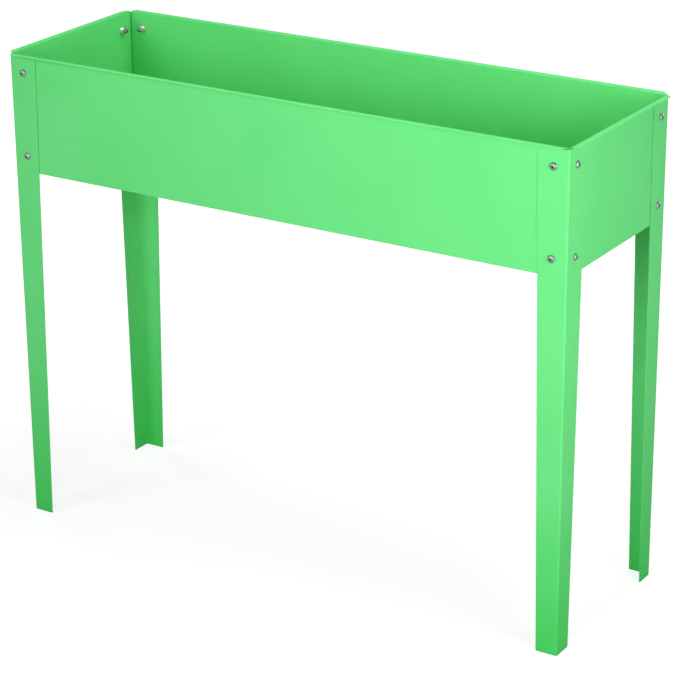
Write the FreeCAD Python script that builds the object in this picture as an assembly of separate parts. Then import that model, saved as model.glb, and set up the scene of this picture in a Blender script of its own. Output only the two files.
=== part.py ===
import FreeCAD
import Part

import math
import os

from FreeCAD import Placement, Rotation, Vector

# Raised garden bed on four folded legs, in millimetres.
# The origin is on the ground under the middle of the bed. X runs along the bed, -Y is the front, Z is up.

# Overall sizes
LENGTH = 1000.0            # over the outer faces of the legs, along X
WIDTH = 320.0              # over the outer faces of the legs, along Y
HEIGHT = 800.0             # ground to the top of the rim
PANEL_DEPTH = 195.0        # top of the rim to the lower edge of the panels

# Sheet steel
LEG_SHEET = 1.0
PANEL_SHEET = 0.7
TRAY_SHEET = 0.7
PANEL_BEND = 1.0           # inside radius of the rim's and the ledge's bends
TRAY_BEND_CLEARANCE = 0.2  # the tray's inside radius over the panels', so that it seats on the ledge

# Rim along the top of each panel, folded outwards and hemmed underneath
RIM_OVERHANG = 9.0         # outer face of the panel to the outside of the hem
HEM_RETURN = 5.5           # outside of the hem to the sheet's own edge below the rim
HEM_GAP = 0.4              # air between the rim and its hem

# Ledge along the bottom of each panel, folded inwards to carry the tray
LEDGE = 14.0               # outer face of the panel to the ledge's own edge

# Legs, folded to an angle and tapered from the top to the foot
LEG_TOP_WIDTH = 51.0
LEG_FOOT_WIDTH = 36.0
LEG_BEND = 3.0             # outside radius of the fold
LEG_CORNER = 2.0           # rounding of the free corners at the foot
LEG_TOP_CLEARANCE = 0.8    # below the bend of the rim

# Tray that is the bed's floor
TRAY_EDGE_MARGIN = 6.0     # above the washers that clamp the tray's walls
TRAY_CORNER_CLEARANCE = 1.7  # from the leg's fold to the tray's walls, which leave the corner open
BEAD_COUNT = 5             # stiffening beads pressed up across the floor
BEAD_RADIUS = 10.0         # outside radius of a bead's arc
BEAD_RISE = 4.0            # top of the bead above the floor
BEAD_END_GAP = 50.0        # tray wall to the end of a bead
DRAIN_DIAMETER = 10.0
DRAIN_FROM_WALL = 95.0     # tray wall to the drain hole's centre

# Bolted joints: two bolts through each face of each leg
BOLT_FROM_CORNER = 25.0    # outer corner of the leg to the bolt's axis
UPPER_BOLT_DROP = 30.0     # top of the rim down to the upper bolt's axis
LOWER_BOLT_RISE = 27.0     # lower edge of the panel up to the lower bolt's axis
BOLT_DIAMETER = 6.0
BOLT_LENGTH = 12.0         # below the head
BOLT_TIP_CHAMFER = 0.7
HOLE_CLEARANCE = 0.6       # the sheets' holes over the bolt's diameter
HEAD_DIAMETER = 12.0
HEAD_HEIGHT = 3.8
HEAD_RIM = 0.9             # straight side of the head below its dome
RECESS_LENGTH = 6.6        # wing to wing across the cross recess
RECESS_WIDTH = 1.7
RECESS_DEPTH = 2.3
RECESS_FLOOR = 2.6         # wing to wing at the bottom of the recess
WASHER_DIAMETER = 16.0
WASHER_CLEARANCE = 0.4     # the washer's hole over the bolt's diameter
WASHER_THICKNESS = 1.2
NUT_ACROSS_FLATS = 10.0
NUT_HEIGHT = 5.0
THREAD_CLEARANCE = 0.1     # the nut's plain bore over the bolt's diameter
NUT_CHAMFER_ANGLE = 30.0   # slope of the chamfer on the nut's corners, in degrees

# Working values
CUT_ROOM = 1.0             # how far a cutting tool passes through a face
SAME_PLACE = 1e-6          # two places nearer than this are one

# Places worked out from the sizes above
HALF_LENGTH = LENGTH / 2
HALF_WIDTH = WIDTH / 2
PANEL_BOTTOM = HEIGHT - PANEL_DEPTH
LEG_TOP = HEIGHT - PANEL_SHEET - PANEL_BEND - LEG_TOP_CLEARANCE
UPPER_BOLT = HEIGHT - UPPER_BOLT_DROP
LOWER_BOLT = PANEL_BOTTOM + LOWER_BOLT_RISE
TRAY_UNDERSIDE = PANEL_BOTTOM + PANEL_SHEET
TRAY_FLOOR = TRAY_UNDERSIDE + TRAY_SHEET
TRAY_TOP = LOWER_BOLT + WASHER_DIAMETER / 2 + TRAY_EDGE_MARGIN
TRAY_HALF_LENGTH = HALF_LENGTH - LEG_SHEET - PANEL_SHEET
TRAY_HALF_WIDTH = HALF_WIDTH - LEG_SHEET - PANEL_SHEET
TRAY_BEND = PANEL_BEND + TRAY_BEND_CLEARANCE
TRAY_CORNER_NOTCH = LEG_BEND - LEG_SHEET - PANEL_SHEET + TRAY_CORNER_CLEARANCE

LEGS = {
    "front_left": (-1, -1),
    "front_right": (1, -1),
    "back_left": (-1, 1),
    "back_right": (1, 1),
}


def prism(points, along):
    """Solid between a closed outline of points and the same outline moved along a vector."""
    outline = Part.makePolygon(points + points[:1])
    return Part.Face(outline).extrude(along)


def folded_section(points, bends, sheet):
    """Closed wire round a sheet folded along a centre line.

    points are the line's corners, in one plane, and bends the inside radii at the corners between its ends.
    """
    normal = (points[1] - points[0]).cross(points[2] - points[1]).normalize()

    def face(offset):
        """Edges of the sheet's face that lies this far to the left of the centre line."""
        edges = []
        here = points[0] + normal.cross(points[1] - points[0]).normalize() * offset
        for before, corner, after, inside in zip(points, points[1:], points[2:], bends):
            way_in = (corner - before).normalize()
            way_out = (after - corner).normalize()
            left_turn = 1 if way_in.cross(way_out).dot(normal) > 0 else -1
            radius = inside + sheet / 2
            setback = radius * math.tan(way_in.getAngle(way_out) / 2)
            tangents = corner - way_in * setback, corner + way_out * setback
            centre = tangents[0] + normal.cross(way_in) * (radius * left_turn)
            first, middle, last = (
                centre + (point - centre).normalize() * (radius - left_turn * offset)
                for point in (tangents[0], corner, tangents[1])
            )
            if (first - here).Length > SAME_PLACE:
                edges.append(Part.LineSegment(here, first).toShape())
            edges.append(Part.Arc(first, middle, last).toShape())
            here = last
        finish = points[-1] + normal.cross(points[-1] - points[-2]).normalize() * offset
        edges.append(Part.LineSegment(here, finish).toShape())
        return edges

    left, right = face(sheet / 2), face(-sheet / 2)
    caps = [
        Part.LineSegment(left[n].Vertexes[n].Point, right[n].Vertexes[n].Point).toShape()
        for n in (0, -1)
    ]
    return Part.Wire(Part.__sortEdges__(left + right + caps))


def bolt_sites(signs):
    """(point on the leg's outer face, outward direction, thickness of sheet clamped) of one leg's bolts."""
    sx, sy = signs
    faces = [
        (sx * (HALF_LENGTH - BOLT_FROM_CORNER), sy * HALF_WIDTH, Vector(0, sy, 0)),
        (sx * HALF_LENGTH, sy * (HALF_WIDTH - BOLT_FROM_CORNER), Vector(sx, 0, 0)),
    ]
    rows = [
        (UPPER_BOLT, LEG_SHEET + PANEL_SHEET),
        (LOWER_BOLT, LEG_SHEET + PANEL_SHEET + TRAY_SHEET),
    ]
    return [(Vector(x, y, z), outward, clamped) for x, y, outward in faces for z, clamped in rows]


def facing(shape, point, outward):
    """The shape with its own +Z turned outwards and its origin moved to the point."""
    placed = shape.copy()
    placed.Placement = Placement(point, Rotation(Vector(0, 0, 1), outward))
    return placed


def bolt_holes():
    """Cutting tools for the holes through the legs, the panels and the tray's walls."""
    tools = []
    for signs in LEGS.values():
        for point, outward, clamped in bolt_sites(signs):
            depth = clamped + CUT_ROOM
            radius = (BOLT_DIAMETER + HOLE_CLEARANCE) / 2
            tool = Part.makeCylinder(radius, depth + CUT_ROOM, Vector(0, 0, -depth))
            tools.append(facing(tool, point, outward))
    return tools


def panel(half_span, half_across):
    """One side of the bed, at the front: a wall with the rim folded out above and the ledge folded in below.

    half_span and half_across are half the bed along and across this panel, over the legs' outer faces.
    """
    end = half_span - LEG_BEND
    outer = -(half_across - LEG_SHEET)
    middle = outer + PANEL_SHEET / 2
    rim = HEIGHT - PANEL_SHEET / 2
    hem_middle = HEM_GAP + PANEL_SHEET
    hem_edge = outer - RIM_OVERHANG
    line = [
        (hem_edge + HEM_RETURN, rim - hem_middle),
        (hem_edge + PANEL_SHEET / 2, rim - hem_middle),
        (hem_edge + PANEL_SHEET / 2, rim),
        (middle, rim),
        (middle, PANEL_BOTTOM + PANEL_SHEET / 2),
        (outer + LEDGE, PANEL_BOTTOM + PANEL_SHEET / 2),
    ]
    bends = [HEM_GAP / 2, HEM_GAP / 2, PANEL_BEND, PANEL_BEND]
    section = folded_section([Vector(-end, y, z) for y, z in line], bends, PANEL_SHEET)
    sheet = Part.Face(section).extrude(Vector(2 * end, 0, 0))

    inner = outer + PANEL_SHEET
    under_rim = HEIGHT - 2 * PANEL_SHEET - HEM_GAP - CUT_ROOM
    over_ledge = PANEL_BOTTOM + PANEL_SHEET + PANEL_BEND + CUT_ROOM
    mitres = [
        (outer, -1, under_rim, HEIGHT + CUT_ROOM, RIM_OVERHANG + CUT_ROOM),
        (inner, 1, PANEL_BOTTOM - CUT_ROOM, over_ledge, LEDGE + CUT_ROOM),
    ]
    for start, way, low, high, reach in mitres:
        for side in (-1, 1):
            corner = [
                Vector(side * end, start, low),
                Vector(side * (end + CUT_ROOM), start, low),
                Vector(side * (end + CUT_ROOM), start + way * reach, low),
                Vector(side * (end - reach), start + way * reach, low),
            ]
            sheet = sheet.cut(prism(corner, Vector(0, 0, high - low)))
    return sheet


def leg(signs):
    """Folded angle whose two flanges narrow towards the foot, with its fold on the bed's corner."""
    middle = LEG_SHEET / 2
    line = [
        Vector(HALF_LENGTH - LEG_TOP_WIDTH, HALF_WIDTH - middle, 0),
        Vector(HALF_LENGTH - middle, HALF_WIDTH - middle, 0),
        Vector(HALF_LENGTH - middle, HALF_WIDTH - LEG_TOP_WIDTH, 0),
    ]
    section = folded_section(line, [LEG_BEND - LEG_SHEET], LEG_SHEET)
    angle = Part.Face(section).extrude(Vector(0, 0, LEG_TOP))

    taper = [(LEG_FOOT_WIDTH, 0.0), (LEG_TOP_WIDTH, LEG_TOP), (LEG_TOP_WIDTH + CUT_ROOM, LEG_TOP)]
    taper += [(LEG_TOP_WIDTH + CUT_ROOM, 0.0)]
    along_x = [Vector(HALF_LENGTH - w, HALF_WIDTH - LEG_BEND, z) for w, z in taper]
    along_y = [Vector(HALF_LENGTH - LEG_BEND, HALF_WIDTH - w, z) for w, z in taper]
    angle = angle.cut(prism(along_x, Vector(0, LEG_BEND + CUT_ROOM, 0)))
    angle = angle.cut(prism(along_y, Vector(LEG_BEND + CUT_ROOM, 0, 0)))

    foot_corners = [
        edge
        for edge in angle.Edges
        if abs(edge.Length - LEG_SHEET) < SAME_PLACE
        and all(abs(v.Z) < SAME_PLACE for v in edge.Vertexes)
    ]
    angle = angle.makeFillet(LEG_CORNER, foot_corners)
    if signs[0] < 0:
        angle = angle.mirror(Vector(0, 0, 0), Vector(1, 0, 0))
    if signs[1] < 0:
        angle = angle.mirror(Vector(0, 0, 0), Vector(0, 1, 0))
    return angle


def bead(x, radius):
    """Round bar with ball ends across the tray's floor, whose top stands a bead's rise out of the floor."""
    half = TRAY_HALF_WIDTH - BEAD_END_GAP - BEAD_RADIUS
    centre = TRAY_FLOOR + BEAD_RISE - BEAD_RADIUS
    bar = Part.makeCylinder(radius, 2 * half, Vector(x, -half, centre), Vector(0, 1, 0))
    for end in (-half, half):
        bar = bar.fuse(Part.makeSphere(radius, Vector(x, end, centre)))
    return bar.removeSplitter()


def box_between(half_x, half_y, low, high):
    """Upright box centred on the bed."""
    return Part.makeBox(2 * half_x, 2 * half_y, high - low, Vector(-half_x, -half_y, low))


def rounded_below(half_x, half_y, low, high, radius):
    """Upright box whose bottom edges are rounded."""
    box = box_between(half_x, half_y, low, high)
    edges = [e for e in box.Edges if all(abs(v.Z - low) < SAME_PLACE for v in e.Vertexes)]
    return box.makeFillet(radius, edges)


def tray():
    """Floor of the bed: a sheet with four folded walls, open corners, pressed beads and drain holes."""
    half_x, half_y = TRAY_HALF_LENGTH, TRAY_HALF_WIDTH
    inner_x, inner_y = half_x - TRAY_SHEET, half_y - TRAY_SHEET
    below, above = TRAY_UNDERSIDE - CUT_ROOM, TRAY_TOP + CUT_ROOM
    outside = rounded_below(half_x, half_y, TRAY_UNDERSIDE, TRAY_TOP, TRAY_BEND + TRAY_SHEET)
    sheet = outside.cut(rounded_below(inner_x, inner_y, TRAY_FLOOR, above, TRAY_BEND))
    notch = box_between(TRAY_CORNER_NOTCH, TRAY_CORNER_NOTCH, below, above)
    for sx, sy in LEGS.values():
        sheet = sheet.cut(notch.translated(Vector(sx * half_x, sy * half_y, 0)))

    bay = 2 * half_x / (BEAD_COUNT + 1)
    over_underside = box_between(half_x, half_y, TRAY_UNDERSIDE, above)
    for n in range(BEAD_COUNT):
        x = (n + 1) * bay - half_x
        sheet = sheet.fuse(bead(x, BEAD_RADIUS).common(over_underside))
        sheet = sheet.cut(bead(x, BEAD_RADIUS - TRAY_SHEET))
    for n in range(BEAD_COUNT + 1):
        x = (n + 0.5) * bay - half_x
        for side in (-1, 1):
            centre = Vector(x, side * (half_y - DRAIN_FROM_WALL), below)
            sheet = sheet.cut(Part.makeCylinder(DRAIN_DIAMETER / 2, above - below, centre))
    return sheet.removeSplitter()


def bolt():
    """Pan-head bolt with a cross recess, its seat at z = 0 and its head above."""
    dome = HEAD_HEIGHT - HEAD_RIM
    head_radius = HEAD_DIAMETER / 2
    shank_radius = BOLT_DIAMETER / 2
    dome_radius = (head_radius**2 + dome**2) / (2 * dome)
    half_turn = math.asin(head_radius / dome_radius) / 2
    over = Vector(dome_radius * math.sin(half_turn), 0, HEAD_HEIGHT - dome_radius * (1 - math.cos(half_turn)))
    top, shoulder = Vector(0, 0, HEAD_HEIGHT), Vector(head_radius, 0, HEAD_RIM)
    tip = -BOLT_LENGTH
    rest = [
        shoulder,
        Vector(head_radius, 0, 0),
        Vector(shank_radius, 0, 0),
        Vector(shank_radius, 0, tip + BOLT_TIP_CHAMFER),
        Vector(shank_radius - BOLT_TIP_CHAMFER, 0, tip),
        Vector(0, 0, tip),
        top,
    ]
    edges = [Part.Arc(top, over, shoulder).toShape()]
    edges += [Part.LineSegment(a, b).toShape() for a, b in zip(rest, rest[1:])]
    solid = Part.Face(Part.Wire(edges)).revolve(Vector(0, 0, 0), Vector(0, 0, 1), 360)

    bottom, above = HEAD_HEIGHT - RECESS_DEPTH, HEAD_HEIGHT + CUT_ROOM
    flare = (RECESS_LENGTH - RECESS_FLOOR) / 2 / RECESS_DEPTH
    half_above = RECESS_LENGTH / 2 + flare * CUT_ROOM
    wing = prism(
        [
            Vector(-RECESS_FLOOR / 2, -RECESS_WIDTH / 2, bottom),
            Vector(RECESS_FLOOR / 2, -RECESS_WIDTH / 2, bottom),
            Vector(half_above, -RECESS_WIDTH / 2, above),
            Vector(-half_above, -RECESS_WIDTH / 2, above),
        ],
        Vector(0, RECESS_WIDTH, 0),
    )
    across = wing.copy()
    across.rotate(Vector(0, 0, 0), Vector(0, 0, 1), 90)
    return solid.cut(wing).cut(across)


def washer():
    """Flat washer whose top, at z = 0, lies against the sheet."""
    low = Vector(0, 0, -WASHER_THICKNESS)
    ring = Part.makeCylinder(WASHER_DIAMETER / 2, WASHER_THICKNESS, low)
    return ring.cut(Part.makeCylinder((BOLT_DIAMETER + WASHER_CLEARANCE) / 2, WASHER_THICKNESS, low))


def nut():
    """Hexagon nut with chamfered corners, its top at z = 0."""
    corner = NUT_ACROSS_FLATS / math.sqrt(3)
    points = [
        Vector(corner * math.cos(math.radians(60 * n)), corner * math.sin(math.radians(60 * n)), -NUT_HEIGHT)
        for n in range(6)
    ]
    hexagon = prism(points, Vector(0, 0, NUT_HEIGHT))
    flat = NUT_ACROSS_FLATS / 2
    reach = corner + CUT_ROOM
    drop = (reach - flat) * math.tan(math.radians(NUT_CHAMFER_ANGLE))
    outline = [
        Vector(0, 0, 0),
        Vector(flat, 0, 0),
        Vector(reach, 0, -drop),
        Vector(reach, 0, drop - NUT_HEIGHT),
        Vector(flat, 0, -NUT_HEIGHT),
        Vector(0, 0, -NUT_HEIGHT),
    ]
    turned = Part.Face(Part.makePolygon(outline + outline[:1]))
    chamfered = hexagon.common(turned.revolve(Vector(0, 0, 0), Vector(0, 0, 1), 360))
    bore = Part.makeCylinder((BOLT_DIAMETER + THREAD_CLEARANCE) / 2, NUT_HEIGHT, Vector(0, 0, -NUT_HEIGHT))
    return chamfered.cut(bore)


def turned_about_z(shape, degrees):
    """The shape turned about the bed's upright axis."""
    turned = shape.copy()
    turned.rotate(Vector(0, 0, 0), Vector(0, 0, 1), degrees)
    return turned


def sheet_parts():
    """The panels, the tray and the legs, with their bolt holes, by name."""
    long_side = panel(HALF_LENGTH, HALF_WIDTH)
    short_side = panel(HALF_WIDTH, HALF_LENGTH)
    parts = {
        "front_panel": long_side,
        "back_panel": turned_about_z(long_side, 180),
        "right_panel": turned_about_z(short_side, 90),
        "left_panel": turned_about_z(short_side, -90),
        "base_tray": tray(),
    }
    for corner, signs in LEGS.items():
        parts[corner + "_leg"] = leg(signs)
    holes = bolt_holes()
    return {name: shape.cut(holes) for name, shape in parts.items()}


def fastener_parts():
    """Each leg's bolts, washers and nuts, by name."""
    parts = {}
    for corner, signs in LEGS.items():
        groups = {"bolts": [], "washers": [], "nuts": []}
        for point, outward, clamped in bolt_sites(signs):
            nut_seat = clamped + WASHER_THICKNESS
            groups["bolts"].append(facing(bolt(), point, outward))
            groups["washers"].append(facing(washer(), point - outward * clamped, outward))
            groups["nuts"].append(facing(nut(), point - outward * nut_seat, outward))
        for kind, solids in groups.items():
            parts[f"{corner}_{kind}"] = Part.makeCompound(solids)
    return parts


def main():
    """Writes every sub-part to its own file."""
    os.makedirs("parts", exist_ok=True)
    for name, shape in {**sheet_parts(), **fastener_parts()}.items():
        shape.exportStep(f"parts/{name}.step")
        volume = sum(solid.Volume for solid in shape.Solids)
        print(f"{name}: {len(shape.Solids)} solids, {volume:.0f} mm3, valid {shape.isValid()}")


main()
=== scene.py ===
"""Dresses the raised garden bed in its finishes and sets it in a plain studio.

Each sheet, bolt, washer and nut is modelled here in place of the CAD node that it stands for.
All lengths are in metres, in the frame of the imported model: X along the bed, -Y its front, Z up.
"""
import logging
import math
import random
from contextlib import contextmanager
from dataclasses import dataclass
from enum import Enum
from typing import Callable, Iterator, Sequence

import bmesh
import bpy
from mathutils import Matrix, Vector


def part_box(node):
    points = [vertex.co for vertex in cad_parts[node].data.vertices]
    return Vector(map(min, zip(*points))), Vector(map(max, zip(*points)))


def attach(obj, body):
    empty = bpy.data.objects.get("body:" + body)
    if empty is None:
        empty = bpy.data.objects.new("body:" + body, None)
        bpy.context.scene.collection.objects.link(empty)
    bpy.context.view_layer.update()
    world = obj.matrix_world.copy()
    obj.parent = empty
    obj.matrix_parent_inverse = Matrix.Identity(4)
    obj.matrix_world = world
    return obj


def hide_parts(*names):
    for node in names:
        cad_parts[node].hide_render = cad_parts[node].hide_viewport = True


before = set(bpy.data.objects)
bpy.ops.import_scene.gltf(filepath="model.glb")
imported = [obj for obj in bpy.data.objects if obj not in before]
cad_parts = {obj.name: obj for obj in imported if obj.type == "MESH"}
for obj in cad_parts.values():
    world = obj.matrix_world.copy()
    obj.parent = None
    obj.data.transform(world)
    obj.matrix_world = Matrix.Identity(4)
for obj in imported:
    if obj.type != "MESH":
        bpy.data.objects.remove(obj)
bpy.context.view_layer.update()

BODY = "root"
MM = 0.001
NEAR = 0.01 * MM
# Numbers of the Mix node's sockets for colours, which share their names with its other sockets
MIX_FACTOR, MIX_A, MIX_B, MIX_COLOUR = 0, 6, 7, 2

log = logging.getLogger("garden_bed")

PlaceTest = Callable[[Vector], bool]


class Pick(Enum):
    """What an edit-mode selection is made of."""

    VERTS = "VERT"
    EDGES = "EDGE"
    FACES = "FACE"


class Cut(Enum):
    """How one solid works on another."""

    TAKE_AWAY = "DIFFERENCE"
    ADD = "UNION"
    KEEP_COMMON = "INTERSECT"


class Side(Enum):
    """A side of the bed, with the turn about the upright axis that takes the front there."""

    FRONT = 0
    RIGHT = 90
    BACK = 180
    LEFT = 270


class Corner(Enum):
    """A corner of the bed, with the turn about the upright axis that takes the back right one there."""

    BACK_RIGHT = 0
    BACK_LEFT = 90
    FRONT_LEFT = 180
    FRONT_RIGHT = 270


def take_up(piece: bpy.types.Object) -> None:
    """Makes one piece the only selected object, and the active one.

    Args:
        piece: The object to work on next.
    """
    bpy.ops.object.select_all(action="DESELECT")
    piece.select_set(True)
    bpy.context.view_layer.objects.active = piece


@contextmanager
def editing(piece: bpy.types.Object) -> Iterator[None]:
    """Opens a piece in edit mode for the length of a with block.

    Args:
        piece: The mesh object to edit.
    """
    take_up(piece)
    bpy.ops.object.mode_set(mode="EDIT")
    yield
    bpy.ops.object.mode_set(mode="OBJECT")


def pick(piece: bpy.types.Object, kind: Pick, test: PlaceTest) -> None:
    """Selects just the elements whose corners all pass a test of place, in edit mode.

    Args:
        piece: The mesh object being edited.
        kind: Whether vertices, edges or faces are selected.
        test: Says whether a corner's place is wanted.
    """
    bpy.ops.mesh.select_mode(type=kind.value)
    bpy.ops.mesh.select_all(action="DESELECT")
    mesh = bmesh.from_edit_mesh(piece.data)
    if kind is Pick.VERTS:
        wanted = [v for v in mesh.verts if test(v.co)]
    else:
        elements = mesh.edges if kind is Pick.EDGES else mesh.faces
        wanted = [e for e in elements if all(test(v.co) for v in e.verts)]
    for element in wanted:
        element.select_set(True)
    mesh.select_flush_mode()
    bmesh.update_edit_mesh(piece.data)


def on_line(y: float, z: float) -> PlaceTest:
    """Makes a test for places on a line along X.

    Args:
        y: The line's Y.
        z: The line's height.

    Returns:
        The test.
    """
    return lambda p: abs(p.y - y) < NEAR and abs(p.z - z) < NEAR


def at_height(z: float) -> PlaceTest:
    """Makes a test for places at one height.

    Args:
        z: The height.

    Returns:
        The test.
    """
    return lambda p: abs(p.z - z) < NEAR


def draw_out(along: Sequence[float]) -> None:
    """Extrudes what is selected along a vector.

    Args:
        along: The way that the new edge or face moves.
    """
    bpy.ops.mesh.extrude_region_move(TRANSFORM_OT_translate={"value": tuple(along)})


def stretch(x: float, y: float, z: float) -> None:
    """Scales what is selected about the origin.

    Args:
        x: Scale along X.
        y: Scale along Y.
        z: Scale along Z.
    """
    bpy.ops.transform.resize(value=(x, y, z), center_override=(0.0, 0.0, 0.0))


def draw_rings(start: tuple[float, float], rings: Sequence[tuple[float, float]]) -> None:
    """Extrudes a selected round face through rings about the Z axis.

    Args:
        start: Height and radius of the face.
        rings: Height and radius of each ring in turn.
    """
    height, radius = start
    for ring_height, ring_radius in rings:
        draw_out((0.0, 0.0, ring_height - height))
        stretch(ring_radius / radius, ring_radius / radius, 1.0)
        height, radius = ring_height, ring_radius


def apply_modifier(piece: bpy.types.Object, kind: str, **settings: object) -> None:
    """Adds a modifier to a piece and applies it.

    Args:
        piece: The object that it works on.
        kind: Blender's name of the modifier's type.
        **settings: The modifier's properties.
    """
    take_up(piece)
    bpy.ops.object.modifier_add(type=kind)
    modifier = piece.modifiers[-1]
    for name, value in settings.items():
        setattr(modifier, name, value)
    bpy.ops.object.modifier_apply(modifier=modifier.name)


def combine(piece: bpy.types.Object, tool: bpy.types.Object, how: Cut) -> None:
    """Cuts, joins or trims a piece with a second solid, which is used up.

    Args:
        piece: The solid that stays.
        tool: The solid that works on it.
        how: Which of the three it does.
    """
    apply_modifier(piece, "BOOLEAN", object=tool, operation=how.value, solver="EXACT")
    bpy.data.objects.remove(tool)


def new_piece(name: str) -> bpy.types.Object:
    """Names the primitive just added and puts its place into its mesh.

    Args:
        name: The object's name.

    Returns:
        The object, at the origin.
    """
    piece = bpy.context.active_object
    piece.name = name
    take_up(piece)
    bpy.ops.object.transform_apply(location=True, rotation=True, scale=True)
    return piece


def add_sheet(
    name: str, quads: tuple[int, int], low: Sequence[float], high: Sequence[float]
) -> bpy.types.Object:
    """Adds a flat grid of quads that fills a box with no depth.

    Args:
        name: The object's name.
        quads: How many quads along X, and across.
        low: Lowest corner. The sheet lies flat where both corners have one height, and stands otherwise.
        high: Highest corner.

    Returns:
        The new object.
    """
    low, high = Vector(low), Vector(high)
    size = high - low
    stands = size.z > NEAR
    bpy.ops.object.select_all(action="DESELECT")
    bpy.ops.mesh.primitive_grid_add(
        x_subdivisions=quads[0],
        y_subdivisions=quads[1],
        size=1.0,
        location=(low + high) / 2,
        rotation=(math.pi / 2 if stands else 0.0, 0.0, 0.0),
    )
    bpy.context.active_object.scale = (size.x, size.z if stands else size.y, 1.0)
    return new_piece(name)


def add_rod(name: str, radius: float, low: float, high: float, sides: int) -> bpy.types.Object:
    """Adds an upright round or many-sided bar on the Z axis.

    Args:
        name: The object's name.
        radius: Radius over its corners.
        low: Height of its bottom.
        high: Height of its top.
        sides: How many sides it has.

    Returns:
        The new object.
    """
    bpy.ops.object.select_all(action="DESELECT")
    middle = (0.0, 0.0, (low + high) / 2)
    bpy.ops.mesh.primitive_cylinder_add(vertices=sides, radius=radius, depth=high - low, location=middle)
    return new_piece(name)


def move_mesh(piece: bpy.types.Object, matrix: Matrix) -> None:
    """Moves a piece and puts its new place into its mesh, so that its object stays at the origin.

    Args:
        piece: The object to move.
        matrix: Where it goes.
    """
    piece.matrix_world = matrix
    take_up(piece)
    bpy.ops.object.transform_apply(location=True, rotation=True, scale=True)


def copy_of(piece: bpy.types.Object, name: str) -> bpy.types.Object:
    """Copies a piece with a mesh of its own.

    Args:
        piece: The object to copy.
        name: The copy's name.

    Returns:
        The copy.
    """
    copy = piece.copy()
    copy.data = piece.data.copy()
    copy.name = name
    bpy.context.scene.collection.objects.link(copy)
    return copy


def copies_at(piece: bpy.types.Object, places: Sequence[Matrix]) -> bpy.types.Object:
    """Sets copies of a piece at several places, joined to one object, and uses the piece up.

    Args:
        piece: The object to copy.
        places: Where each copy goes.

    Returns:
        The joined object.
    """
    copies = [copy_of(piece, piece.name) for _ in places]
    for copy, place in zip(copies, places):
        move_mesh(copy, place)
    bpy.data.objects.remove(piece)
    take_up(copies[0])
    for copy in copies:
        copy.select_set(True)
    bpy.ops.object.join()
    return copies[0]


def round_edges(piece: bpy.types.Object, width: float) -> None:
    """Rounds a piece's sharp edges by a little.

    Args:
        piece: The solid.
        width: Width of the rounding.
    """
    sharp = math.radians(40.0)
    apply_modifier(piece, "BEVEL", width=width, segments=2, limit_method="ANGLE", angle_limit=sharp)


def smooth(piece: bpy.types.Object) -> None:
    """Shades gentle edges smooth, with the large faces keeping their own direction.

    Args:
        piece: The object to shade.
    """
    gentle = math.radians(50.0)
    take_up(piece)
    bpy.ops.object.shade_smooth_by_angle(angle=gentle)
    apply_modifier(piece, "WEIGHTED_NORMAL", keep_sharp=True)


def linear(code: str) -> tuple[float, float, float, float]:
    """Turns an sRGB hex colour into Blender's linear values.

    Args:
        code: Six hex digits.

    Returns:
        Red, green, blue and an alpha of 1.
    """
    values = []
    for n in (0, 2, 4):
        value = int(code[n:n + 2], 16) / 255
        values.append(value / 12.92 if value <= 0.04045 else ((value + 0.055) / 1.055) ** 2.4)
    return (*values, 1.0)


def add_node(tree: bpy.types.NodeTree, kind: str, sockets: dict, **settings: object) -> bpy.types.Node:
    """Adds a node with its settings, values and links.

    Args:
        tree: The material's or the world's node tree.
        kind: Blender's name of the node's type.
        sockets: Value of each input by name or number, or the output that is linked to it.
        **settings: The node's own properties.

    Returns:
        The new node.
    """
    node = tree.nodes.new(kind)
    for name, value in settings.items():
        setattr(node, name, value)
    for key, value in sockets.items():
        if isinstance(value, bpy.types.NodeSocket):
            tree.links.new(value, node.inputs[key])
        else:
            node.inputs[key].default_value = value
    return node


def new_material(name: str) -> tuple[bpy.types.Material, bpy.types.NodeTree]:
    """Starts a material with an empty node tree.

    Args:
        name: The material's name.

    Returns:
        The material and its tree.
    """
    material = bpy.data.materials.new(name)
    material.use_nodes = True
    material.node_tree.nodes.clear()
    return material, material.node_tree


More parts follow.
